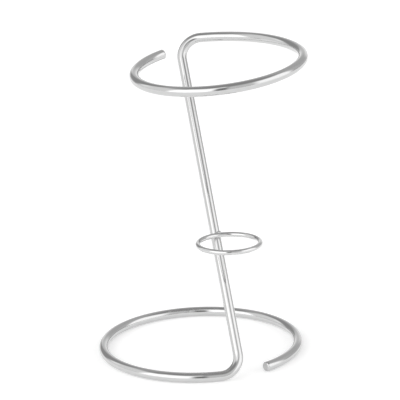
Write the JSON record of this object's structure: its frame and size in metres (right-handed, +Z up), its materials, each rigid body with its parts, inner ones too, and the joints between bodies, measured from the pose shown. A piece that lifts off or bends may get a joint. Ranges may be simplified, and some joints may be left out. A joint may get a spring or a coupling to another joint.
{
  "type": "shaving brush stand",
  "caption": "Bent-rod stand with an open base loop, a leaning stem, a small welded ring part-way up and an open top loop.",
  "frame": {"origin": "centre of the base loop, on the table it stands on", "axes": "+Z up; +Y from the front, where the stem's foot is, to the back, where its head is; +X to the right"},
  "size_m": [0.1104, 0.1073, 0.1561],
  "materials": {
    "rod_steel": "polished round bar",
    "ring_steel": "polished wire",
    "weld_steel": "polished-over weld bead"
  },
  "bodies": {
    "root": {"base_loop": "rod_steel", "foot_bend": "rod_steel", "stem": "rod_steel", "head_bend": "rod_steel", "top_loop": "rod_steel", "brush_ring": "ring_steel", "ring_weld": "weld_steel"}
  },
  "joints": []
}
